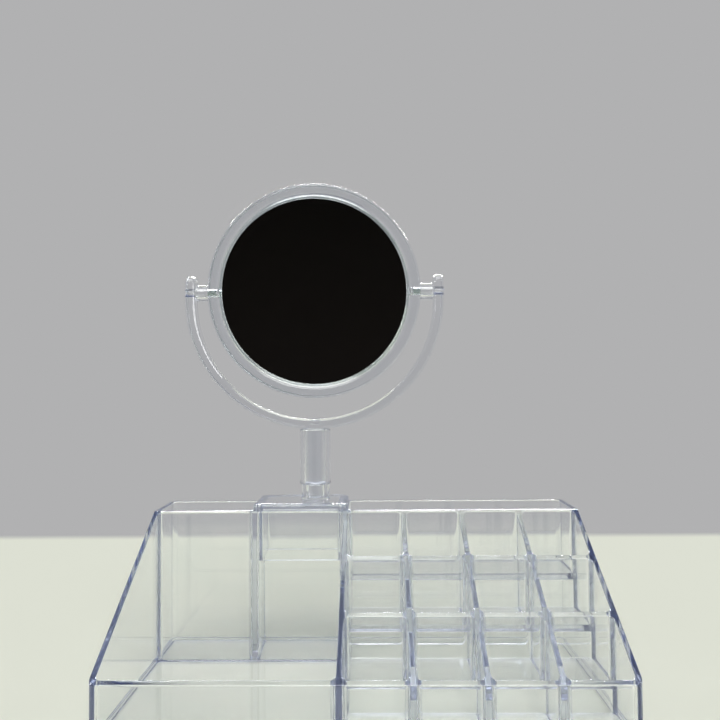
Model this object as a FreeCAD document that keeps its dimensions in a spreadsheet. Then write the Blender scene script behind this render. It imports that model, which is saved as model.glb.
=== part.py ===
import FreeCAD, Part
import math
import os
import Sketcher

# A clear moulded makeup organizer with a mirror that swivels and tilts on a post.
# Millimetres, +Z up, front towards -Y. The origin is the middle of the underside.

os.makedirs("parts", exist_ok=True)
doc = FreeCAD.newDocument("makeup_organizer")

SIZES = {
    # Tray, outside
    "tray_width": 202,
    "tray_depth": 111.6,
    "tray_height": 73,
    "front_height": 24,
    "corner_radius": 3.4,
    "wall": 2.2,
    "foot_proud": 1.6,
    "foot_height": 3.2,
    # Tray, inside
    "inner_wall": 2.2,
    "floor_thickness": 2.5,
    "inner_radius": 2.2,
    "trough_inside": 26.6,
    "column_inside": 41.6,
    "partition_x": -8.1,
    "cell_columns": 4,
    "cell_rows": 3,
    "trough_floor": 42.8,
    "back_row_floor": 27.5,
    "middle_row_floor": 14,
    # Stand cap
    "cap_inset": 0.4,
    "cap_thickness": 3.2,
    "cap_radius": 3,
    "cap_edge": 0.8,
    "skirt_depth": 24,
    "skirt_wall": 2,
    "plug_gap": 0.3,
    "post_shift": 6.4,
    "collar_diameter": 13.8,
    "collar_height": 7.7,
    "socket_floor": 0.5,
    # Post and fork
    "spigot_diameter": 7.4,
    "stem_diameter": 9.8,
    "sleeve_diameter": 15.3,
    "sleeve_length": 27,
    "sleeve_edge": 0.4,
    "turning_gap": 0.05,
    "loose_gap": 0.1,
    "end_gap": 0.3,
    "fork_half_width": 64.5,
    "fork_bar": 5,
    "fork_depth": 8.5,
    "fork_edge": 1,
    "pivot_rise": 3.8,
    "ear_rise": 8.4,
    "ear_flat": 1,
    # Mirror
    "mirror_tilt": 6,
    "ring_gap": 6.5,
    "rim_width": 7,
    "ring_half_depth": 5.5,
    "ring_edge": 0.8,
    "lip_width": 2.6,
    "lip_edge": 0.6,
    "mirror_overlap": 1.9,
    "mirror_thickness": 3,
    "mirror_gap": 0.3,
    "pin_diameter": 4,
    "socket_depth": 3.7,
    "pin_recess": 0.4,
    "bush_diameter": 8.1,
    "bush_gap": 0.25,
    # How far a cutting outline runs past what it cuts
    "overrun": 5,
}

sheet = doc.addObject("Spreadsheet::Sheet", "Sizes")
for row, (alias, size) in enumerate(SIZES.items(), start=1):
    sheet.set(f"A{row}", alias)
    sheet.set(f"B{row}", str(size))
    sheet.setAlias(f"B{row}", alias)
doc.recompute()


def number(expression):
    return float(sheet.evalExpression(expression))


def point(x, y):
    return FreeCAD.Vector(number(x), number(y), 0)


def new_body(label):
    body = doc.addObject("PartDesign::Body", label)
    body.Label = label
    return body


def origin_feature(body, role):
    return next(feature for feature in body.Origin.OriginFeatures if feature.Role == role)


def new_sketch(body, name, role, offset=None):
    """A sketch on one of the body's own planes, moved along the plane's normal by offset."""
    sketch = body.newObject("Sketcher::SketchObject", name)
    sketch.AttachmentSupport = [(origin_feature(body, role), "")]
    sketch.MapMode = "FlatFace"
    if offset:
        sketch.setExpression("AttachmentOffset.Base.z", offset)
    return sketch


def constrain(sketch, name, expression, kind, *where):
    """A dimension of the sketch that follows an expression."""
    index = sketch.addConstraint(Sketcher.Constraint(kind, *where, number(expression)))
    sketch.renameConstraint(index, name)
    sketch.setExpression("Constraints." + name, expression)


def relate(sketch, kind, *where):
    sketch.addConstraint(Sketcher.Constraint(kind, *where))


def locate(sketch, curve, end, x=None, y=None):
    """Ties the x and y of a curve's end to expressions, measured from the sketch's origin."""
    if x:
        constrain(sketch, f"x_{curve}_{end}", x, "DistanceX", -1, 1, curve, end)
    if y:
        constrain(sketch, f"y_{curve}_{end}", y, "DistanceY", -1, 1, curve, end)


def arc(middle, radius, start, stop):
    """Part of a circle, anticlockwise from start to stop in radians."""
    return Part.ArcOfCircle(Part.Circle(middle, FreeCAD.Vector(0, 0, 1), radius), start, stop)


QUARTER = math.pi / 2


def rounded_rectangle(sketch, left, right, front, back, radius):
    size = number(radius)
    low, high = point(left, front), point(right, back)
    first = sketch.GeometryCount
    middles = [
        FreeCAD.Vector(high.x - size, low.y + size, 0),
        FreeCAD.Vector(high.x - size, high.y - size, 0),
        FreeCAD.Vector(low.x + size, high.y - size, 0),
        FreeCAD.Vector(low.x + size, low.y + size, 0),
    ]
    outward = [FreeCAD.Vector(0, -size, 0), FreeCAD.Vector(size, 0, 0)]
    outward += [-outward[0], -outward[1]]
    for side in range(4):
        start = middles[side - 1] + outward[side]
        stop = middles[side] + outward[side]
        sketch.addGeometry(Part.LineSegment(start, stop))
        sketch.addGeometry(arc(middles[side], size, (side - 1) * QUARTER, side * QUARTER))
    for side in range(4):
        line = first + 2 * side
        relate(sketch, "Tangent", line, 2, line + 1, 1)
        relate(sketch, "Tangent", line + 1, 2, first + (2 * side + 2) % 8, 1)
        relate(sketch, "Vertical" if side % 2 else "Horizontal", line)
        if side:
            relate(sketch, "Equal", first + 1, line + 1)
    constrain(sketch, f"radius_{first}", radius, "Radius", first + 1)
    locate(sketch, first, 1, y=front)
    locate(sketch, first + 2, 1, x=right)
    locate(sketch, first + 4, 1, y=back)
    locate(sketch, first + 6, 1, x=left)


def polygon(sketch, corners):
    """A closed outline of straight lines whose corners follow pairs of expressions. A corner with
    None for a coordinate lies on that axis."""
    spots = [point(x or "0", y or "0") for x, y in corners]
    for here, there in zip(spots, spots[1:] + spots[:1]):
        sketch.addGeometry(Part.LineSegment(here, there))
    for index, (x, y) in enumerate(corners):
        relate(sketch, "Coincident", index, 2, (index + 1) % len(corners), 1)
        locate(sketch, index, 1, x, y)
        if x is None:
            relate(sketch, "PointOnObject", index, 1, -2)
        if y is None:
            relate(sketch, "PointOnObject", index, 1, -1)


def circle(sketch, radius, x=None, y=None):
    """A circle round the point that x and y give. A coordinate left out puts it on that axis."""
    middle = point(x or "0", y or "0")
    index = sketch.addGeometry(Part.Circle(middle, FreeCAD.Vector(0, 0, 1), number(radius)))
    constrain(sketch, f"radius_{index}", radius, "Radius", index)
    locate(sketch, index, 3, x, y)
    if x is None:
        relate(sketch, "PointOnObject", index, 3, -2)
    if y is None:
        relate(sketch, "PointOnObject", index, 3, -1)


def pad(body, sketch, length, symmetric=False):
    feature = body.newObject("PartDesign::Pad", sketch.Name + "_pad")
    feature.Profile = sketch
    feature.setExpression("Length", length)
    if symmetric:
        feature.SideType = "Symmetric"
    doc.recompute()
    return feature


def pocket(body, sketch, length=None, reverse=False, symmetric=False):
    """Cuts against the sketch's normal, or along it with reverse, by a length or right through."""
    before = body.Shape.Volume
    feature = body.newObject("PartDesign::Pocket", sketch.Name + "_pocket")
    feature.Profile = sketch
    feature.Reversed = reverse
    if symmetric:
        feature.SideType = "Symmetric"
    if length:
        feature.setExpression("Length", length)
    else:
        feature.Type = "ThroughAll"
    doc.recompute()
    if body.Shape.Volume >= before:
        raise RuntimeError(f"{feature.Name} cut nothing")
    return feature


def revolve(body, sketch):
    feature = body.newObject("PartDesign::Revolution", sketch.Name + "_turn")
    feature.Profile = sketch
    feature.ReferenceAxis = (sketch, ["V_Axis"])
    feature.Angle = 360
    doc.recompute()
    return feature


def ease(body, names, kind, size):
    """Rounds edges by a Fillet, or breaks them by a Chamfer."""
    base = body.Tip
    feature = body.newObject("PartDesign::" + kind, f"{body.Name}_{kind.lower()}")
    feature.Base = (base, names)
    feature.setExpression("Radius" if kind == "Fillet" else "Size", size)
    doc.recompute()
    return feature


def edges_where(shape, test):
    return [f"Edge{i}" for i, edge in enumerate(shape.Edges, start=1) if test(edge.BoundBox)]


def near(a, b):
    return abs(a - b) < 1e-4


def put(body, x, y, z, tilt=None):
    """Sets the body at a point, turned about X by tilt in degrees."""
    if tilt:
        body.Placement.Rotation = FreeCAD.Rotation(FreeCAD.Vector(1, 0, 0), number(tilt))
        body.setExpression("Placement.Rotation.Angle", tilt)
    for axis, expression in zip("xyz", (x, y, z)):
        if expression:
            body.setExpression(f"Placement.Base.{axis}", expression)
    doc.recompute()


# Faces of the tray's walls, named by the space they look into
SIDE_INSIDE = "(Sizes.tray_width / 2 - Sizes.wall)"
BACK_INSIDE = "(Sizes.tray_depth / 2 - Sizes.wall)"
FRONT_INSIDE = f"(-{BACK_INSIDE})"
TROUGH_FRONT = f"({BACK_INSIDE} - Sizes.trough_inside)"
ROWS_BACK = f"({TROUGH_FRONT} - Sizes.inner_wall)"
BAY_RIGHT = "(Sizes.partition_x - Sizes.inner_wall)"
COLUMN_LEFT = f"({BAY_RIGHT} - Sizes.column_inside)"
NOOK_RIGHT = f"({COLUMN_LEFT} - Sizes.inner_wall)"
CELL_WIDTH = (
    f"(({SIDE_INSIDE} - Sizes.partition_x + Sizes.inner_wall) / Sizes.cell_columns - Sizes.inner_wall)"
)
CELL_DEPTH = f"(({ROWS_BACK} - {FRONT_INSIDE} + Sizes.inner_wall) / Sizes.cell_rows - Sizes.inner_wall)"
ROW_PITCH = f"({CELL_DEPTH} + Sizes.inner_wall)"

# Heights up the mirror stand, and the post's axis
CAP_TOP = "(Sizes.tray_height + Sizes.cap_thickness)"
COLLAR_TOP = f"({CAP_TOP} + Sizes.collar_height)"
FORK_BOTTOM = f"({COLLAR_TOP} + Sizes.sleeve_length + Sizes.loose_gap)"
ARC_HEIGHT = f"({FORK_BOTTOM} + Sizes.fork_half_width)"
PIVOT_HEIGHT = f"({ARC_HEIGHT} + Sizes.pivot_rise)"
PIN_HOLE = "(Sizes.pin_diameter / 2 + Sizes.turning_gap)"
POST_X = f"(({COLUMN_LEFT} + {BAY_RIGHT}) / 2 + Sizes.post_shift)"
POST_Y = f"(({TROUGH_FRONT} + {BACK_INSIDE}) / 2)"


def organizer_tray():
    """One moulding: a block with a low front, hollowed from above into its compartments and from
    below under the raised floors."""
    body = new_body("organizer_tray")
    half_width, half_depth = "Sizes.tray_width / 2", "Sizes.tray_depth / 2"
    block = new_sketch(body, "tray_outline", "XY_Plane")
    rounded_rectangle(
        block, f"-{half_width}", half_width, f"-{half_depth}", half_depth, "Sizes.corner_radius"
    )
    pad(body, block, "Sizes.tray_height")

    # A low flange runs round the foot
    proud_width = f"({half_width} + Sizes.foot_proud)"
    proud_depth = f"({half_depth} + Sizes.foot_proud)"
    foot = new_sketch(body, "foot_outline", "XY_Plane")
    rounded_rectangle(
        foot, f"-{proud_width}", proud_width, f"-{proud_depth}", proud_depth,
        "Sizes.corner_radius + Sizes.foot_proud",
    )
    pad(body, foot, "Sizes.foot_height")

    # The rims slope from the middle of the second wall's top down to the front wall's outer face
    beyond_front = f"(-{half_depth} - Sizes.foot_proud - Sizes.overrun)"
    above = "(Sizes.tray_height + Sizes.overrun)"
    slope_start = f"({ROWS_BACK} + Sizes.inner_wall / 2)"
    slope = new_sketch(body, "slope", "YZ_Plane")
    polygon(slope, [
        (slope_start, "Sizes.tray_height"),
        (f"-{half_depth}", "Sizes.front_height"),
        (beyond_front, "Sizes.front_height"),
        (beyond_front, above),
        (slope_start, above),
    ])
    pocket(body, slope, symmetric=True)

    spaces = {
        "front_bay": (f"-{SIDE_INSIDE}", BAY_RIGHT, FRONT_INSIDE, ROWS_BACK, "Sizes.floor_thickness"),
        "back_nook": (f"-{SIDE_INSIDE}", NOOK_RIGHT, TROUGH_FRONT, BACK_INSIDE, "Sizes.floor_thickness"),
        "column": (COLUMN_LEFT, BAY_RIGHT, TROUGH_FRONT, BACK_INSIDE, "Sizes.floor_thickness"),
        "trough": ("Sizes.partition_x", SIDE_INSIDE, TROUGH_FRONT, BACK_INSIDE, "Sizes.trough_floor"),
    }
    for name, (left, right, front, back, floor) in spaces.items():
        space = new_sketch(body, name, "XY_Plane", floor)
        rounded_rectangle(space, left, right, front, back, "Sizes.inner_radius")
        pocket(body, space, reverse=True)

    # Each row of lipstick cells stands a step higher than the one in front
    row_floors = ["Sizes.floor_thickness", "Sizes.middle_row_floor", "Sizes.back_row_floor"]
    for row, floor in enumerate(row_floors):
        front = f"({FRONT_INSIDE} + {row} * {ROW_PITCH})"
        cell = new_sketch(body, f"cell_row_{row}", "XY_Plane", floor)
        rounded_rectangle(
            cell, "Sizes.partition_x", f"Sizes.partition_x + {CELL_WIDTH}",
            front, f"{front} + {CELL_DEPTH}", "Sizes.inner_radius",
        )
        first_cell = pocket(body, cell, reverse=True)
        cells = body.newObject("PartDesign::LinearPattern", f"cells_{row}")
        cells.Originals = [first_cell]
        cells.Direction = (origin_feature(body, "X_Axis"), [""])
        cells.Mode = "Spacing"
        cells.setExpression("Offset", f"{CELL_WIDTH} + Sizes.inner_wall")
        cells.setExpression("Occurrences", "Sizes.cell_columns")
        body.Tip = cells
        doc.recompute()

    # Underneath, the moulding follows the steps at floor thickness and is open to the table
    middle_back = f"({FRONT_INSIDE} + 2 * {ROW_PITCH})"
    middle_front = f"({FRONT_INSIDE} + {ROW_PITCH})"
    under_trough = "Sizes.trough_floor - Sizes.floor_thickness"
    under_back = "Sizes.back_row_floor - Sizes.floor_thickness"
    under_middle = "Sizes.middle_row_floor - Sizes.floor_thickness"
    below = "-Sizes.overrun"
    steps = new_sketch(body, "underside", "YZ_Plane", "Sizes.partition_x")
    polygon(steps, [
        (BACK_INSIDE, below), (BACK_INSIDE, under_trough), (TROUGH_FRONT, under_trough),
        (TROUGH_FRONT, under_back), (middle_back, under_back), (middle_back, under_middle),
        (middle_front, under_middle), (middle_front, below),
    ])
    pocket(body, steps, f"{SIDE_INSIDE} - Sizes.partition_x", reverse=True)

    return body


def stand_cap():
    """A plate over the column, with a plug skirt below and the stand's collar on top."""
    body = new_body("stand_cap")
    left = f"{NOOK_RIGHT} + Sizes.cap_inset"
    right = "Sizes.partition_x - Sizes.cap_inset"
    front = f"{ROWS_BACK} + Sizes.cap_inset"
    back = "Sizes.tray_depth / 2 - Sizes.cap_inset"
    plate = new_sketch(body, "cap_plate", "XY_Plane", "Sizes.tray_height")
    rounded_rectangle(plate, left, right, front, back, "Sizes.cap_radius")
    pad(body, plate, "Sizes.cap_thickness")
    top = number(CAP_TOP)
    rim = edges_where(body.Shape, lambda box: near(box.ZMin, top) and near(box.ZMax, top))
    ease(body, rim, "Chamfer", "Sizes.cap_edge")

    skirt = new_sketch(body, "cap_skirt", "XY_Plane", "Sizes.tray_height - Sizes.skirt_depth")
    sides = [
        f"{COLUMN_LEFT} + Sizes.plug_gap", f"{BAY_RIGHT} - Sizes.plug_gap",
        f"{TROUGH_FRONT} + Sizes.plug_gap", f"{BACK_INSIDE} - Sizes.plug_gap",
    ]
    inner = [f"{side} {sign} Sizes.skirt_wall" for side, sign in zip(sides, "+-+-")]
    outer_radius = "Sizes.inner_radius - Sizes.plug_gap"
    rounded_rectangle(skirt, *sides, outer_radius)
    rounded_rectangle(skirt, *inner, f"({outer_radius}) / 2")
    pad(body, skirt, "Sizes.skirt_depth")

    collar = new_sketch(body, "collar", "XY_Plane", CAP_TOP)
    circle(collar, "Sizes.collar_diameter / 2", POST_X, POST_Y)
    pad(body, collar, "Sizes.collar_height")
    socket = new_sketch(body, "socket", "XY_Plane", f"{CAP_TOP} + Sizes.socket_floor")
    circle(socket, "Sizes.spigot_diameter / 2 + Sizes.turning_gap", POST_X, POST_Y)
    pocket(body, socket, reverse=True)
    return body


def post_sleeve():
    """A thick clear tube that stands on the collar, round the fork's stem."""
    body = new_body("post_sleeve")
    tube = new_sketch(body, "sleeve_section", "XY_Plane", COLLAR_TOP)
    circle(tube, "Sizes.sleeve_diameter / 2")
    circle(tube, "Sizes.stem_diameter / 2 + Sizes.loose_gap")
    pad(body, tube, "Sizes.sleeve_length")
    outer = number("Sizes.sleeve_diameter")
    rims = edges_where(body.Shape, lambda box: near(box.XLength, outer) and box.ZLength < 1e-6)
    ease(body, rims, "Chamfer", "Sizes.sleeve_edge")
    put(body, POST_X, POST_Y, None)
    return body


def mirror_fork():
    """A U of rounded bar with round-topped ears, on a stem that ends in the collar's spigot."""
    body = new_body("mirror_fork")
    outer, inner = "Sizes.fork_half_width", FORK_INSIDE
    ear_top = f"({PIVOT_HEIGHT} + Sizes.ear_rise)"
    wide, narrow = number(outer), number(inner)
    middle, top = number(ARC_HEIGHT), number(ear_top)

    def spot(x, z):
        return FreeCAD.Vector(x, z, 0)

    bow = new_sketch(body, "fork_outline", "XZ_Plane")
    heart = spot(0, middle)
    bow.addGeometry(Part.LineSegment(spot(-wide, top), spot(-wide, middle)))
    bow.addGeometry(arc(heart, wide, 2 * QUARTER, 4 * QUARTER))
    bow.addGeometry(Part.LineSegment(spot(wide, middle), spot(wide, top)))
    bow.addGeometry(Part.LineSegment(spot(wide, top), spot(narrow, top)))
    bow.addGeometry(Part.LineSegment(spot(narrow, top), spot(narrow, middle)))
    bow.addGeometry(arc(heart, narrow, 2 * QUARTER, 4 * QUARTER))
    bow.addGeometry(Part.LineSegment(spot(-narrow, middle), spot(-narrow, top)))
    bow.addGeometry(Part.LineSegment(spot(-narrow, top), spot(-wide, top)))
    for here, end, there, start in ((0, 2, 1, 1), (1, 2, 2, 1), (4, 2, 5, 2), (5, 1, 6, 1)):
        relate(bow, "Tangent", here, end, there, start)
    for here, there in ((2, 3), (3, 4), (6, 7), (7, 0)):
        relate(bow, "Coincident", here, 2, there, 1)
    for upright in (0, 2, 4, 6):
        relate(bow, "Vertical", upright)
    for level in (3, 7):
        relate(bow, "Horizontal", level)
        locate(bow, level, 1, y=ear_top)
    relate(bow, "Coincident", 5, 3, 1, 3)
    relate(bow, "PointOnObject", 1, 3, -2)
    locate(bow, 1, 3, y=ARC_HEIGHT)
    constrain(bow, "outer_radius", outer, "Radius", 1)
    constrain(bow, "inner_radius", inner, "Radius", 5)
    pad(body, bow, "Sizes.fork_depth", symmetric=True)

    ear_ends = edges_where(body.Shape, lambda box: near(box.ZMin, top) and box.YLength < 1e-4)
    ease(body, ear_ends, "Fillet", "(Sizes.fork_depth - Sizes.ear_flat) / 2")
    rims = edges_where(body.Shape, lambda box: box.XLength < 1e-4 and box.ZLength > 1e-4)
    rims += edges_where(body.Shape, lambda box: box.XLength > number(inner) and box.YLength < 1e-4)
    ease(body, rims, "Chamfer", "Sizes.fork_edge")

    holes = new_sketch(body, "pin_holes", "YZ_Plane")
    circle(holes, PIN_HOLE, y=PIVOT_HEIGHT)
    pocket(body, holes, symmetric=True)

    stem = new_sketch(body, "stem", "XY_Plane", COLLAR_TOP)
    circle(stem, "Sizes.stem_diameter / 2")
    pad(body, stem, "Sizes.sleeve_length + Sizes.loose_gap + Sizes.fork_bar / 2")
    spigot_end = f"{CAP_TOP} + Sizes.socket_floor + Sizes.end_gap"
    spigot = new_sketch(body, "spigot", "XY_Plane", spigot_end)
    circle(spigot, "Sizes.spigot_diameter / 2")
    pad(body, spigot, "Sizes.collar_height - Sizes.socket_floor - Sizes.end_gap")
    put(body, POST_X, POST_Y, None)
    return body


# The mirror's own pieces are drawn round its pivot, with the front towards -Y
FORK_INSIDE = "(Sizes.fork_half_width - Sizes.fork_bar)"
RING_RADIUS = f"({FORK_INSIDE} - Sizes.ring_gap)"
VIEW_RADIUS = f"({RING_RADIUS} - Sizes.rim_width)"
MIRROR_RADIUS = f"({VIEW_RADIUS} + Sizes.mirror_overlap)"
RIM_INSIDE = f"({MIRROR_RADIUS} + Sizes.mirror_gap)"
SOCKET_END = f"({RING_RADIUS} - Sizes.socket_depth)"
FRONT_TILT, REAR_TILT = "Sizes.mirror_tilt", "Sizes.mirror_tilt + 180"


def mirror_ring(label, tilt):
    """Half of the mirror's frame: a rim whose sloping lip holds one mirror's edge, with half a socket
    for each pin."""
    body = new_body(label)
    outer, face = RING_RADIUS, "Sizes.ring_half_depth"
    glass = "Sizes.mirror_thickness"
    profile = new_sketch(body, label + "_profile", "XY_Plane")
    polygon(profile, [
        (RIM_INSIDE, None),
        (outer, None),
        (outer, f"Sizes.ring_edge - {face}"),
        (f"{outer} - Sizes.ring_edge", f"-{face}"),
        (f"{VIEW_RADIUS} + Sizes.lip_width", f"-{face}"),
        (VIEW_RADIUS, f"-{glass} - Sizes.lip_edge"),
        (VIEW_RADIUS, f"-{glass}"),
        (RIM_INSIDE, f"-{glass}"),
    ])
    revolve(body, profile)

    for name, side in (("left", -1), ("right", 1)):
        socket = new_sketch(body, f"{label}_socket_{name}", "YZ_Plane", f"{side} * {SOCKET_END}")
        circle(socket, PIN_HOLE)
        pocket(body, socket, reverse=side > 0)
    put(body, POST_X, POST_Y, PIVOT_HEIGHT, tilt)
    return body


def mirror_glass(label, tilt):
    """A flat round mirror. The two stand back to back in the frame."""
    body = new_body(label)
    profile = new_sketch(body, label + "_profile", "XY_Plane")
    polygon(profile, [
        (None, None),
        (MIRROR_RADIUS, None),
        (MIRROR_RADIUS, "-Sizes.mirror_thickness"),
        (None, "-Sizes.mirror_thickness"),
    ])
    revolve(body, profile)
    put(body, POST_X, POST_Y, PIVOT_HEIGHT, tilt)
    return body


def across_pivot(label, side, start, stop, radii):
    """A pin or bush along the pivot, from start to stop out from the middle, on one side of it."""
    body = new_body(label)
    section = new_sketch(body, label + "_section", "YZ_Plane", start if side > 0 else f"-({stop})")
    for radius in radii:
        circle(section, radius)
    pad(body, section, f"{stop} - ({start})")
    put(body, POST_X, POST_Y, PIVOT_HEIGHT)
    return body


parts = [
    organizer_tray(),
    stand_cap(),
    post_sleeve(),
    mirror_fork(),
    mirror_ring("front_ring", FRONT_TILT),
    mirror_ring("rear_ring", REAR_TILT),
    mirror_glass("front_mirror", FRONT_TILT),
    mirror_glass("rear_mirror", REAR_TILT),
]
for name, side in (("left", -1), ("right", 1)):
    pin_end = "Sizes.fork_half_width - Sizes.pin_recess"
    parts.append(across_pivot(
        f"pivot_pin_{name}", side, f"{SOCKET_END} + Sizes.end_gap", pin_end, ["Sizes.pin_diameter / 2"]
    ))
    parts.append(across_pivot(
        f"pivot_sleeve_{name}", side, f"{RING_RADIUS} + Sizes.turning_gap",
        f"{FORK_INSIDE} - Sizes.bush_gap", ["Sizes.bush_diameter / 2", PIN_HOLE],
    ))

doc.recompute()
for thing in doc.Objects:
    if {"Invalid", "Error"} & set(thing.State):
        raise RuntimeError(f"{thing.Name} failed: {thing.State}")
for body in parts:
    if body.Shape.isNull() or not body.Shape.isValid() or not body.Shape.Solids:
        raise RuntimeError(f"{body.Label} has no valid solid")
for body in parts:
    body.Shape.exportStep(f"parts/{body.Label}.step")
    print(f"{body.Label}: {len(body.Shape.Solids)} solid, {body.Shape.Volume / 1000:.2f} cm3")
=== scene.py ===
import math

import bpy
from mathutils import Matrix, Vector


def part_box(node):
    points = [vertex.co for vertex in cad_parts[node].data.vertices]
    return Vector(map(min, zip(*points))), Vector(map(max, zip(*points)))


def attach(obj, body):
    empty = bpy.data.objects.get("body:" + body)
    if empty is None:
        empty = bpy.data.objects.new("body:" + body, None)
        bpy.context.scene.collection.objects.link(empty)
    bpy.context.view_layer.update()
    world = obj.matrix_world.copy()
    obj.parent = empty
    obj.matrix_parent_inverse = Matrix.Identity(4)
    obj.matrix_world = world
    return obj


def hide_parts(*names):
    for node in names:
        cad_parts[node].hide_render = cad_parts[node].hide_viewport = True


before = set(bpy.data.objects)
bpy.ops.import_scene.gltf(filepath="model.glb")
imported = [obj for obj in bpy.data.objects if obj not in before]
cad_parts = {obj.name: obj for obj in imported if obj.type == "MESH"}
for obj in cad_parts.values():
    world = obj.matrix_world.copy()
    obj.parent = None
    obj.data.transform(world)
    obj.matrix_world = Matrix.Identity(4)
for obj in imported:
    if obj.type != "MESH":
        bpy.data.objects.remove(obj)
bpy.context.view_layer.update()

# Organizer tray: one injection moulding of clear polystyrene, with its walls, stepped cells and floors
# in one shot. A moulding has no sharp edge: the rims are rounded and each floor runs into its walls.
TRAY_ROUNDING = 0.0005
ROUNDING_STEPS = 3
# Taken off all round, so that pieces that touch don't share a face
SKIN_GAP = 0.00003
# Corners nearer than the first are one corner, faces that meet at less than the second are one face, and
# edges sharper than the third are rounded
WELD_DISTANCE, FLAT_ANGLE, SHARP_ANGLE = 0.000002, math.radians(0.5), math.radians(28)
# Lengths of the flow waves and of the scuffs in the plastic, and the waves' height
FLOW_LENGTH, SCUFF_LENGTH, WAVE_HEIGHT = 0.012, 0.0025, 0.000004


def linear_colour(hex_code):
    """The linear colour of an sRGB hex value."""
    shades = [int(hex_code[i:i + 2], 16) / 255 for i in (1, 3, 5)]
    return [s / 12.92 if s <= 0.04045 else ((s + 0.055) / 1.055) ** 2.4 for s in shades] + [1.0]


def add_node(tree, kind, attributes=None, inputs=None, links=None):
    """A node with its settings, its constant inputs and the outputs that feed it."""
    node = tree.nodes.new(kind)
    for name, value in (attributes or {}).items():
        setattr(node, name, value)
    for name, value in (inputs or {}).items():
        node.inputs[name].default_value = value
    for name, output in (links or {}).items():
        tree.links.new(output, node.inputs[name])
    return node


def moulded_polystyrene(name):
    """Clear general-purpose polystyrene from a polished mould: bright gloss, faces that nearly vanish,
    long paths along the walls tinted slate blue, flow waves about 12 mm long and fine handling scuffs."""
    material = bpy.data.materials.new(name)
    material.use_nodes = True
    tree = material.node_tree
    tree.nodes.clear()
    place = add_node(tree, "ShaderNodeTexCoord")
    flow = add_node(
        tree, "ShaderNodeTexNoise", inputs={"Scale": 1 / FLOW_LENGTH, "Detail": 1.0, "Roughness": 0.4},
        links={"Vector": place.outputs["Object"]},
    )
    scuffs = add_node(
        tree, "ShaderNodeTexNoise", inputs={"Scale": 1 / SCUFF_LENGTH, "Detail": 4.0, "Roughness": 0.65},
        links={"Vector": place.outputs["Object"]},
    )
    polish = add_node(
        tree, "ShaderNodeMapRange",
        inputs={"From Min": 0.45, "From Max": 0.8, "To Min": 0.012, "To Max": 0.03},
        links={"Value": scuffs.outputs["Fac"]},
    )
    clarity = add_node(tree, "ShaderNodeValToRGB", links={"Fac": flow.outputs["Fac"]})
    clarity.color_ramp.elements[0].position = 0.3
    clarity.color_ramp.elements[0].color = linear_colour("#FDFEFE")
    clarity.color_ramp.elements[1].position = 0.7
    clarity.color_ramp.elements[1].color = linear_colour("#FFFFFF")
    waves = add_node(
        tree, "ShaderNodeBump", inputs={"Strength": 1.0, "Distance": WAVE_HEIGHT},
        links={"Height": flow.outputs["Fac"]},
    )
    shell = add_node(
        tree, "ShaderNodeBsdfPrincipled", inputs={"IOR": 1.59, "Transmission Weight": 1.0},
        links={
            "Base Color": clarity.outputs["Color"], "Roughness": polish.outputs["Result"],
            "Normal": waves.outputs["Normal"],
        },
    )
    tint = add_node(
        tree, "ShaderNodeVolumeAbsorption", inputs={"Color": linear_colour("#7E95C6"), "Density": 12.0}
    )
    add_node(
        tree, "ShaderNodeOutputMaterial",
        links={"Surface": shell.outputs["BSDF"], "Volume": tint.outputs["Volume"]},
    )
    return material


def dress(piece, material, body, slot, *nodes):
    """Shades a piece smoothly with its flat faces kept flat, and lets it stand for its solids."""
    bpy.ops.object.shade_smooth()
    piece.modifiers.new("face_normals", "WEIGHTED_NORMAL").keep_sharp = False
    bpy.ops.object.modifier_apply(modifier="face_normals")
    piece.data.materials.clear()
    piece.data.materials.append(material)
    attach(piece, body)
    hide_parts(*nodes)


def merged_copy(node):
    """A copy of a piece's solid with its flat faces made whole, left open in edit mode."""
    bpy.ops.object.select_all(action="DESELECT")
    piece = bpy.data.objects.new(node + "_moulded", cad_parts[node].data.copy())
    bpy.context.scene.collection.objects.link(piece)
    piece.select_set(True)
    bpy.context.view_layer.objects.active = piece
    bpy.ops.mesh.customdata_custom_splitnormals_clear()
    bpy.ops.object.mode_set(mode="EDIT")
    bpy.ops.mesh.select_mode(type="EDGE")
    bpy.ops.mesh.select_all(action="SELECT")
    bpy.ops.mesh.remove_doubles(threshold=WELD_DISTANCE)
    bpy.ops.mesh.dissolve_limited(angle_limit=FLAT_ANGLE)
    return piece


def soften(rounding):
    """Rounds every sharp edge of the piece that is open, takes the gap off all round and closes it."""
    bpy.ops.mesh.select_mode(type="EDGE")
    bpy.ops.mesh.select_all(action="DESELECT")
    bpy.ops.mesh.edges_select_sharp(sharpness=SHARP_ANGLE)
    bpy.ops.mesh.bevel(
        offset_type="OFFSET", offset=rounding, segments=ROUNDING_STEPS, profile=0.5, affect="EDGES",
        clamp_overlap=False, loop_slide=False,
    )
    bpy.ops.mesh.select_all(action="SELECT")
    bpy.ops.transform.shrink_fatten(value=-SKIN_GAP)
    bpy.ops.object.mode_set(mode="OBJECT")


def softened_copy(node, rounding, material, body, slot):
    """A copy of a piece's solid with every edge rounded, which then stands for the piece."""
    piece = merged_copy(node)
    soften(rounding)
    dress(piece, material, body, slot, node)
    return piece


clear_plastic = moulded_polystyrene("clear_polystyrene")
softened_copy("organizer_tray", TRAY_ROUNDING, clear_plastic, "tray", "clear_polystyrene")

# Stand cap: a clear moulded plate over the column, with a plug skirt below and a collar on top. It is
# pushed into the column by hand and lifts out again. The plate's upper edge is a quarter round.
CAP_ROUNDING = 0.0003
PLATE_THICKNESS, PLATE_CHAMFER = 0.0032, 0.0008
NOSE_RADIUS, NOSE_STEPS = 0.0017, 6
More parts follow.
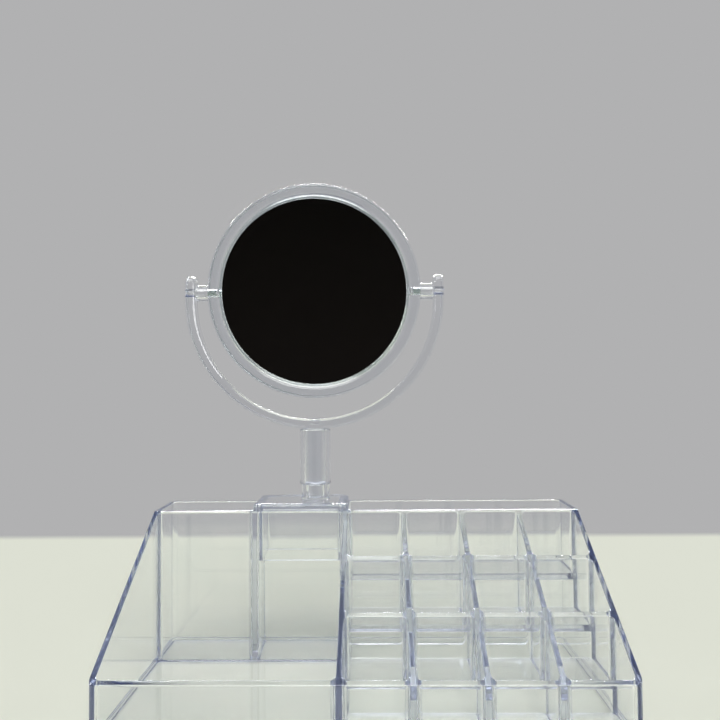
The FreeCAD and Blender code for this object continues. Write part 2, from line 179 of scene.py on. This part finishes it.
# The plate's rim lies outside this distance from the post, and heights are compared with this slack
COLLAR_REACH, HEIGHT_SLACK = 0.009, 0.00001
plate_low, plate_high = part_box("stand_cap")
plate_middle = (plate_low + plate_high) / 2
half_spans = [span / 2 for span in (plate_high - plate_low).xy]
plate_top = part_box("organizer_tray")[1].z + PLATE_THICKNESS
post_axis = (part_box("post_sleeve")[0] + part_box("post_sleeve")[1]) / 2
cap = merged_copy("stand_cap")


def pick_corners(low, high, nearest=0.0):
    """Selects the cap's corners between two heights, no nearer to the post's axis than given."""
    bpy.ops.mesh.select_mode(type="VERT")
    bpy.ops.mesh.select_all(action="DESELECT")
    bpy.ops.object.mode_set(mode="OBJECT")
    for vertex in cap.data.vertices:
        outside = (vertex.co - post_axis).xy.length >= nearest
        vertex.select = outside and low - HEIGHT_SLACK < vertex.co.z < high + HEIGHT_SLACK
    bpy.ops.object.mode_set(mode="EDIT")


# The plate's top and chamfer are taken off, and the wall below is drawn up and in, round the edge
chamfer_foot = plate_top - PLATE_CHAMFER
pick_corners(chamfer_foot + 2 * HEIGHT_SLACK, plate_top, COLLAR_REACH)
bpy.ops.mesh.delete(type="VERT")
pick_corners(chamfer_foot, chamfer_foot)
bpy.ops.transform.translate(value=(0, 0, PLATE_CHAMFER - NOSE_RADIUS))
inset, rise = 0.0, 0.0
for step in range(1, NOSE_STEPS + 1):
    angle = step / NOSE_STEPS * math.pi / 2
    next_inset, next_rise = NOSE_RADIUS * (1 - math.cos(angle)), NOSE_RADIUS * math.sin(angle)
    bpy.ops.mesh.extrude_region_move(TRANSFORM_OT_translate={"value": (0, 0, next_rise - rise)})
    narrowing = [(half - next_inset) / (half - inset) for half in half_spans]
    bpy.ops.transform.resize(value=(narrowing[0], narrowing[1], 1), center_override=plate_middle)
    inset, rise = next_inset, next_rise
pick_corners(plate_top, plate_top)
bpy.ops.mesh.fill()
bpy.ops.mesh.dissolve_limited(angle_limit=FLAT_ANGLE)
bpy.ops.mesh.select_all(action="SELECT")
bpy.ops.mesh.normals_make_consistent(inside=False)
soften(CAP_ROUNDING)
dress(cap, clear_plastic, "cap", "clear_polystyrene", "stand_cap")

# Post sleeve: a length of thick tube of the same clear polystyrene. It stands on the cap's collar,
# loose round the fork's stem, and its cut ends are eased.
SLEEVE_ROUNDING = 0.0002
softened_copy("post_sleeve", SLEEVE_ROUNDING, clear_plastic, "swivel", "clear_polystyrene")

# Mirror fork: a moulded U of clear polystyrene with round-topped ears for the pins. Its stem goes
# through the sleeve and turns in the collar's socket.
FORK_ROUNDING = 0.0002
softened_copy("mirror_fork", FORK_ROUNDING, clear_plastic, "swivel", "clear_polystyrene")

# Mirror rings: the two halves of the clear frame, bonded back to back round the mirrors' edges. Each is
# a moulded rim with a sloping lip, turned here from its section, and has half a socket for each pin.
PIVOT = (-0.0247, 0.0403, 0.1793)
MIRROR_TILT = math.radians(6)
RING_SECTION = [
    (0.0482, 0.0), (0.0530, 0.0), (0.0530, -0.0047), (0.0522, -0.0055),
    (0.0486, -0.0055), (0.0460, -0.0036), (0.0460, -0.0030), (0.0482, -0.0030),
]
RING_ROUNDING, RING_ROUNDING_STEPS, RING_STEPS = 0.00028, 4, 192
SEAM_DISTANCE = 0.000005
SOCKET_RADIUS, SOCKET_END, SOCKET_REACH, SOCKET_SIDES = 0.00205, 0.0493, 0.006, 48
for ring_name, turned in (("front_ring", MIRROR_TILT), ("rear_ring", MIRROR_TILT + math.pi)):
    bpy.ops.object.select_all(action="DESELECT")
    sockets = []
    for side in (-1, 1):
        bpy.ops.mesh.primitive_cylinder_add(
            vertices=SOCKET_SIDES, radius=SOCKET_RADIUS, depth=SOCKET_REACH, rotation=(0, math.pi / 2, 0),
            location=(side * (SOCKET_END + SOCKET_REACH / 2), 0, 0),
        )
        sockets.append(bpy.context.object)
    bpy.ops.mesh.primitive_circle_add(vertices=len(RING_SECTION))
    ring = bpy.context.object
    ring.name = ring_name + "_moulded"
    for vertex, (radius, depth) in zip(ring.data.vertices, RING_SECTION):
        vertex.co = (radius, depth, 0)
    bpy.ops.object.mode_set(mode="EDIT")
    bpy.ops.mesh.select_all(action="SELECT")
    bpy.ops.mesh.bevel(
        offset=RING_ROUNDING, segments=RING_ROUNDING_STEPS, affect="VERTICES", clamp_overlap=False
    )
    bpy.ops.mesh.select_all(action="SELECT")
    bpy.ops.mesh.spin(steps=RING_STEPS, angle=2 * math.pi, center=(0, 0, 0), axis=(0, 1, 0))
    bpy.ops.mesh.select_all(action="SELECT")
    bpy.ops.mesh.remove_doubles(threshold=SEAM_DISTANCE)
    bpy.ops.mesh.normals_make_consistent(inside=False)
    bpy.ops.transform.shrink_fatten(value=-SKIN_GAP)
    bpy.ops.object.mode_set(mode="OBJECT")
    for socket in sockets:
        cut = ring.modifiers.new("pin_socket", "BOOLEAN")
        cut.object = socket
        bpy.ops.object.modifier_apply(modifier="pin_socket")
        bpy.data.objects.remove(socket)
    ring.rotation_euler = (turned, 0, 0)
    ring.location = PIVOT
    bpy.ops.object.transform_apply(location=True, rotation=True, scale=True)
    dress(ring, clear_plastic, "mirror", "clear_polystyrene", ring_name)

# Pivot pins and bushes: short rods of clear polystyrene through the ears into the ring's sockets, each
# with a clear tube pushed over it that keeps the ring off the ear.
PIVOT_ROUNDING = 0.0003
for pivot_piece in ("pivot_pin_left", "pivot_pin_right", "pivot_sleeve_left", "pivot_sleeve_right"):
    softened_copy(pivot_piece, PIVOT_ROUNDING, clear_plastic, "mirror", "clear_polystyrene")

# Mirrors: two round plates of silvered float glass, cut and seamed on a belt. They lie back to back
# and are held by the ring's lips.
MIRROR_ROUNDING = 0.0004
# Lengths of the finger smears and of the ground edge's grain
SMEAR_LENGTH, GRAIN_LENGTH = 0.009, 0.0004
# A face turned further from the mirror's facing than this cosine belongs to the edge
FACING_COSINE = 0.95


def silvered_glass(name):
    """Float glass silvered at the back: a neutral mirror with the faint green of the glass, a few soft
    finger smears about 9 mm across, and the hard shine of the glass in front."""
    material = bpy.data.materials.new(name)
    material.use_nodes = True
    tree = material.node_tree
    tree.nodes.clear()
    place = add_node(tree, "ShaderNodeTexCoord")
    smears = add_node(
        tree, "ShaderNodeTexNoise", inputs={"Scale": 1 / SMEAR_LENGTH, "Detail": 3.0, "Distortion": 0.6},
        links={"Vector": place.outputs["Object"]},
    )
    shine = add_node(
        tree, "ShaderNodeMapRange",
        inputs={"From Min": 0.5, "From Max": 0.8, "To Min": 0.008, "To Max": 0.05},
        links={"Value": smears.outputs["Fac"]},
    )
    silver = add_node(tree, "ShaderNodeValToRGB", links={"Fac": smears.outputs["Fac"]})
    silver.color_ramp.elements[0].color = linear_colour("#E9EFEC")
    silver.color_ramp.elements[1].color = linear_colour("#DFE6E3")
    mirror = add_node(
        tree, "ShaderNodeBsdfPrincipled",
        inputs={"Metallic": 1.0, "Coat Weight": 1.0, "Coat Roughness": 0.01, "Coat IOR": 1.52},
        links={"Base Color": silver.outputs["Color"], "Roughness": shine.outputs["Result"]},
    )
    add_node(tree, "ShaderNodeOutputMaterial", links={"Surface": mirror.outputs["BSDF"]})
    return material


def ground_edge(name):
    """The seamed edge of float glass: grey-green, dull from the grinding belt, with a grain of 0.4 mm."""
    material = bpy.data.materials.new(name)
    material.use_nodes = True
    tree = material.node_tree
    tree.nodes.clear()
    place = add_node(tree, "ShaderNodeTexCoord")
    grit = add_node(
        tree, "ShaderNodeTexNoise", inputs={"Scale": 1 / GRAIN_LENGTH, "Detail": 2.0},
        links={"Vector": place.outputs["Object"]},
    )
    green = add_node(tree, "ShaderNodeValToRGB", links={"Fac": grit.outputs["Fac"]})
    green.color_ramp.elements[0].color = linear_colour("#B9C8C0")
    green.color_ramp.elements[1].color = linear_colour("#D5E0DA")
    edge = add_node(
        tree, "ShaderNodeBsdfPrincipled", inputs={"Roughness": 0.45, "IOR": 1.52},
        links={"Base Color": green.outputs["Color"]},
    )
    add_node(tree, "ShaderNodeOutputMaterial", links={"Surface": edge.outputs["BSDF"]})
    return material


silvering = silvered_glass("silvered_float_glass")
seamed_edge = ground_edge("seamed_glass_edge")
facing = Vector((0, -math.cos(MIRROR_TILT), -math.sin(MIRROR_TILT)))
for mirror in ("front_mirror", "rear_mirror"):
    plate = softened_copy(mirror, MIRROR_ROUNDING, silvering, "mirror", "mirror_glass")
    plate.data.materials.append(seamed_edge)
    for face in plate.data.polygons:
        if abs(face.normal.dot(facing)) < FACING_COSINE:
            face.material_index = 1

# Stage: a pale painted table top that ends in a straight edge before a grey surround, soft light from
# the front and above, and the camera at the photo's angle.
FLOOR_SIZE = 6.0
# Where the table top begins to fade into the surround and where it has gone, in front and behind
TABLE_EDGE = (0.305, 0.33)
SURROUND_GREY = "#B1B1B2"
bpy.ops.object.select_all(action="DESELECT")
bpy.ops.mesh.primitive_plane_add(size=FLOOR_SIZE, location=(0, 0, 0))
floor = bpy.context.object
floor.name = "stage_floor"
table_top = bpy.data.materials.new("pale_table_top")
table_top.use_nodes = True
tree = table_top.node_tree
tree.nodes.clear()
place = add_node(tree, "ShaderNodeTexCoord")
across = add_node(tree, "ShaderNodeSeparateXYZ", links={0: place.outputs["Object"]})
reach = add_node(tree, "ShaderNodeMath", {"operation": "ABSOLUTE"}, links={0: across.outputs["Y"]})
fade = add_node(
    tree, "ShaderNodeMapRange", {"interpolation_type": "SMOOTHSTEP"},
    inputs={"From Min": TABLE_EDGE[0], "From Max": TABLE_EDGE[1], "To Min": 0.0, "To Max": 1.0},
    links={"Value": reach.outputs["Value"]},
)
cover = add_node(
    tree, "ShaderNodeBsdfPrincipled",
    inputs={"Base Color": linear_colour("#DEE0D2"), "Roughness": 0.6, "Specular IOR Level": 0.0},
)
surround = add_node(
    tree, "ShaderNodeEmission", inputs={"Color": linear_colour(SURROUND_GREY), "Strength": 1.0}
)
blend = add_node(
    tree, "ShaderNodeMixShader",
    links={0: fade.outputs["Result"], 1: cover.outputs["BSDF"], 2: surround.outputs["Emission"]},
)
add_node(tree, "ShaderNodeOutputMaterial", links={"Surface": blend.outputs["Shader"]})
floor.data.materials.append(table_top)

# A round dark card behind the camera, with a soft edge, which only reflections see: its colour is painted
# shade for the unlit room there, which gives the mirror a painted dark reflection to show
# Its middle, its radius, the radius where it starts to fade, and the sides of its outline
CARD_MIDDLE, CARD_RADIUS, CARD_FADE, CARD_SIDES = (-0.068, -0.5, 0.137), 0.22, 0.13, 64
bpy.ops.object.select_all(action="DESELECT")
bpy.ops.mesh.primitive_circle_add(
    vertices=CARD_SIDES, radius=CARD_RADIUS, fill_type="NGON", location=CARD_MIDDLE,
    rotation=(math.pi / 2, 0, 0),
)
card = bpy.context.object
card.name = "stage_card"
dark_card = bpy.data.materials.new("dark_card")
dark_card.use_nodes = True
tree = dark_card.node_tree
tree.nodes.clear()
place = add_node(tree, "ShaderNodeTexCoord")
height = add_node(tree, "ShaderNodeSeparateXYZ", links={0: place.outputs["Generated"]})
# Painted shade: the card is darker towards the top
card_shade_ramp = add_node(tree, "ShaderNodeValToRGB", links={"Fac": height.outputs["Y"]})
card_shade_ramp.color_ramp.elements[0].color = linear_colour("#2A2523")
card_shade_ramp.color_ramp.elements[1].color = linear_colour("#0C0B0B")
paper = add_node(
    tree, "ShaderNodeBsdfPrincipled", inputs={"Roughness": 0.9, "Specular IOR Level": 0.0},
    links={"Base Color": card_shade_ramp.outputs["Color"]},
)
clear = add_node(tree, "ShaderNodeBsdfTransparent")
reach = add_node(
    tree, "ShaderNodeVectorMath", {"operation": "LENGTH"}, links={0: place.outputs["Object"]}
)
fade = add_node(
    tree, "ShaderNodeMapRange", {"interpolation_type": "SMOOTHSTEP"},
    inputs={"From Min": CARD_FADE, "From Max": CARD_RADIUS, "To Min": 0.0, "To Max": 1.0},
    links={"Value": reach.outputs["Value"]},
)
blend = add_node(
    tree, "ShaderNodeMixShader",
    links={0: fade.outputs["Result"], 1: paper.outputs["BSDF"], 2: clear.outputs["BSDF"]},
)
add_node(tree, "ShaderNodeOutputMaterial", links={"Surface": blend.outputs["Shader"]})
card.data.materials.append(dark_card)
card.visible_camera = False
card.visible_diffuse = False
card.visible_transmission = False
card.visible_shadow = False

# The light: a grey surround that is darker overhead, and a large soft panel in front and above
PANEL_DIRECTION, PANEL_STRENGTH = (0.0, -0.5, 0.866), 3.9
# Cosines of the angle from the panel's middle at which it begins and at which it is fully bright
PANEL_EDGE = (0.85, 0.93)
world = bpy.data.worlds.new("studio")
world.use_nodes = True
bpy.context.scene.world = world
tree = world.node_tree
tree.nodes.clear()
direction = add_node(tree, "ShaderNodeTexCoord")
height = add_node(tree, "ShaderNodeSeparateXYZ", links={0: direction.outputs["Generated"]})
sky = add_node(tree, "ShaderNodeValToRGB", links={"Fac": height.outputs["Z"]})
sky.color_ramp.elements[0].position = 0.50
sky.color_ramp.elements[0].color = linear_colour(SURROUND_GREY)
sky.color_ramp.elements[1].position = 0.56
sky.color_ramp.elements[1].color = linear_colour("#84878D")
surround_light = add_node(
    tree, "ShaderNodeBackground", inputs={"Strength": 1.0}, links={"Color": sky.outputs["Color"]}
)
towards_panel = add_node(
    tree, "ShaderNodeVectorMath", {"operation": "DOT_PRODUCT"}, inputs={1: PANEL_DIRECTION},
    links={0: direction.outputs["Generated"]},
)
panel = add_node(
    tree, "ShaderNodeMapRange", {"interpolation_type": "SMOOTHSTEP"},
    inputs={
        "From Min": PANEL_EDGE[0], "From Max": PANEL_EDGE[1], "To Min": 0.0, "To Max": PANEL_STRENGTH,
    },
    links={"Value": towards_panel.outputs["Value"]},
)
panel_light = add_node(
    tree, "ShaderNodeBackground", inputs={"Color": linear_colour("#FFFFFE")},
    links={"Strength": panel.outputs["Result"]},
)
both_lights = add_node(
    tree, "ShaderNodeAddShader",
    links={0: surround_light.outputs["Background"], 1: panel_light.outputs["Background"]},
)
add_node(tree, "ShaderNodeOutputWorld", links={"Surface": both_lights.outputs["Shader"]})

# Strip lights that only reflections see, which draw the fine white lines along the rounded edges
STRIP_AIM = Vector((0, 0, 0.08))
for name, place_at, size, power in (
    ("left_strip", (-0.8, -0.2, 0.5), (0.1, 0.9), 4.0),
    ("right_strip", (0.8, -0.2, 0.5), (0.1, 0.9), 2.0),
    ("rear_strip", (0.0, 0.8, 0.75), (1.4, 0.11), 29.0),
):
    lamp = bpy.data.lights.new(name, "AREA")
    lamp.shape = "RECTANGLE"
    lamp.size, lamp.size_y = size
    lamp.energy = power
    holder = bpy.data.objects.new(name, lamp)
    bpy.context.scene.collection.objects.link(holder)
    holder.location = place_at
    holder.rotation_euler = (STRIP_AIM - Vector(place_at)).to_track_quat("-Z", "Y").to_euler()
    holder.visible_camera = False
    holder.visible_diffuse = False
    holder.visible_transmission = False

# The camera: its place, its pan, rise and roll in degrees, and its lens, all as in the photo
CAMERA_PLACE = (0.00412, -0.31997, 0.13251)
CAMERA_PAN, CAMERA_RISE, CAMERA_ROLL = 0.982, 1.992, -0.462
CAMERA_LENS, CAMERA_SENSOR, CAMERA_NEAR = 36.05, 36.0, 0.01
camera = bpy.data.objects.new("camera", bpy.data.cameras.new("camera"))
bpy.context.scene.collection.objects.link(camera)
camera.data.sensor_width = CAMERA_SENSOR
camera.data.lens = CAMERA_LENS
camera.data.clip_start = CAMERA_NEAR
turn = (
    Matrix.Rotation(math.radians(CAMERA_PAN), 4, "Z")
    @ Matrix.Rotation(math.radians(90 + CAMERA_RISE), 4, "X")
    @ Matrix.Rotation(math.radians(CAMERA_ROLL), 4, "Z")
)
camera.matrix_world = Matrix.Translation(CAMERA_PLACE) @ turn
scene = bpy.context.scene
scene.camera = camera
scene.view_settings.view_transform = "Standard"

# Light runs a long way inside the clear walls before it comes out, so it may bounce many times, and it
# isn't blurred on the way to the table
LIGHT_BOUNCES, CARD_PASSES = 128, 16
scene.cycles.max_bounces = LIGHT_BOUNCES
scene.cycles.transmission_bounces = LIGHT_BOUNCES
scene.cycles.glossy_bounces = LIGHT_BOUNCES
scene.cycles.transparent_max_bounces = CARD_PASSES
scene.cycles.blur_glossy = 0.0
scene.cycles.caustics_reflective = False
